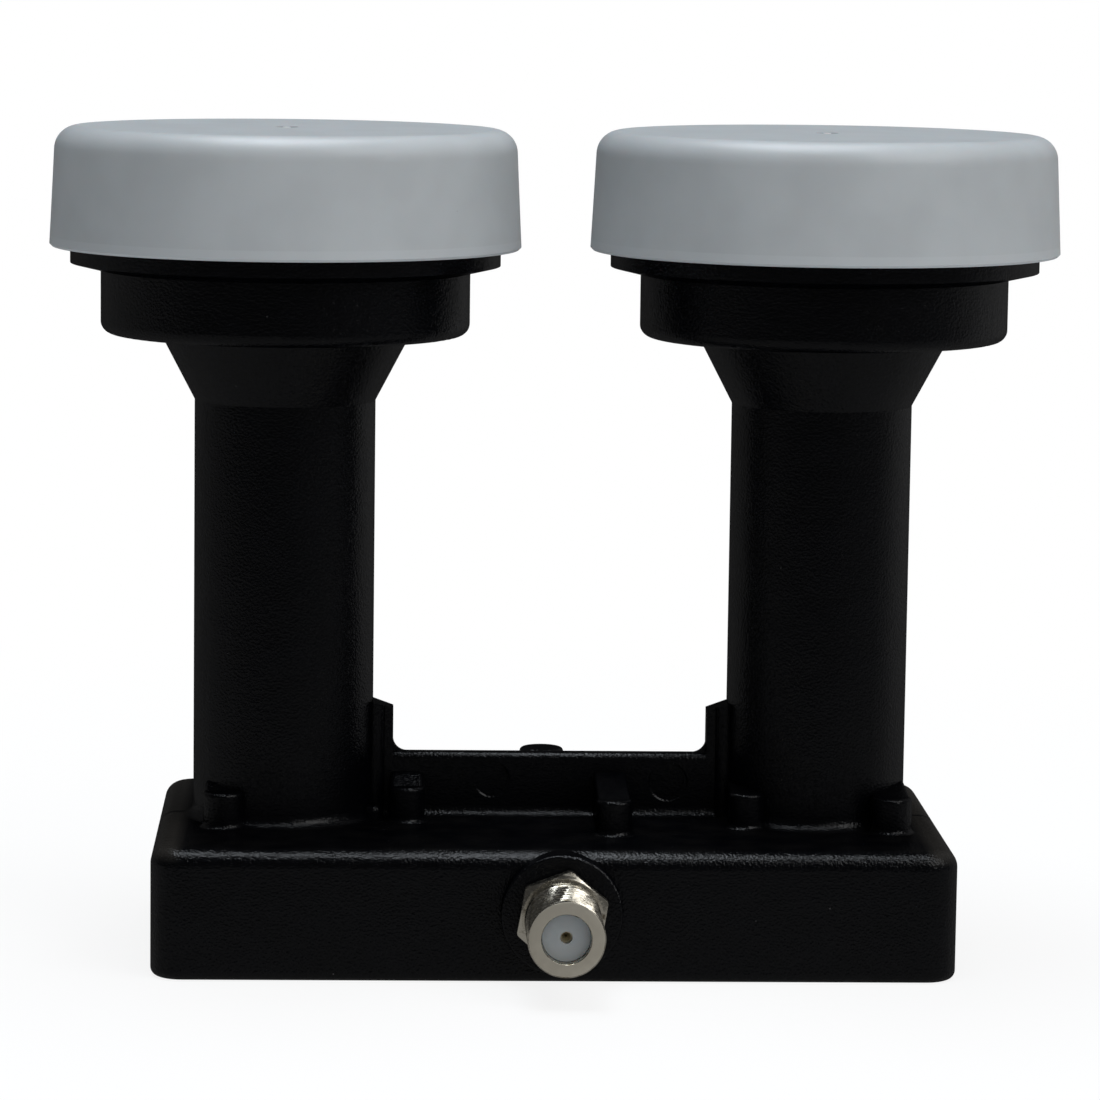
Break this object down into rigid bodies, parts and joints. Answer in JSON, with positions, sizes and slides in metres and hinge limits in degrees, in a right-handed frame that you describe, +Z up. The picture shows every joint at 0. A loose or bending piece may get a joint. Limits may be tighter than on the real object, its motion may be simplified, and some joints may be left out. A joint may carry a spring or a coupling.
{
  "type": "satellite lnb",
  "caption": "Satellite dish converter: capped feed horns on round necks rise from a cast base with a low web, screw bosses and a coax connector.",
  "frame": {"origin": "centre of the flat underside of the base, midway between the two horn axes and in their plane", "axes": "+Z up along the horns, from the base to the feed caps; +X from the left horn to the right one as seen from the connector's side; the coax connector points to -Y"},
  "size_m": [0.1282, 0.0719, 0.1044],
  "materials": {
    "cast_black": "black powder coat on an aluminium die casting, fine orange peel",
    "cap_grey": "pale grey moulded plastic, satin",
    "seal_black": "black rubber",
    "nickel": "worn nickel plate on brass",
    "insulator_grey": "pale grey plastic",
    "contact_brass": "dull brass",
    "cover_metal": "plain sheet",
    "shield_metal": "bare die casting",
    "screw_steel": "zinc plated steel",
    "board_green": "glass-filled laminate with green mask",
    "chip_black": "moulded epoxy",
    "capacitor_tan": "moulded epoxy",
    "ferrite": "bare ferrite",
    "puck_tan": "fired ceramic"
  },
  "bodies": {
    "root": {"housing": "cast_black", "feed_cap_left": "cap_grey", "feed_cap_right": "cap_grey", "cap_seal_left": "seal_black", "cap_seal_right": "seal_black", "connector_shell": "nickel", "connector_insulator": "insulator_grey", "connector_contact": "contact_brass", "connector_seal": "seal_black", "base_cover": "cover_metal", "cover_gasket": "seal_black", "cover_screws": "screw_steel", "rf_shield": "shield_metal", "shield_screws": "screw_steel", "circuit_board": "board_green", "input_amplifiers": "chip_black", "mixer_chip": "chip_black", "output_amplifier": "chip_black", "switch_controller": "chip_black", "voltage_regulator": "chip_black", "supply_capacitors": "capacitor_tan", "supply_choke": "ferrite", "resonator_low_band": "puck_tan", "resonator_high_band": "puck_tan", "tuning_screw_low_band": "screw_steel", "tuning_screw_high_band": "screw_steel"}
  },
  "joints": []
}
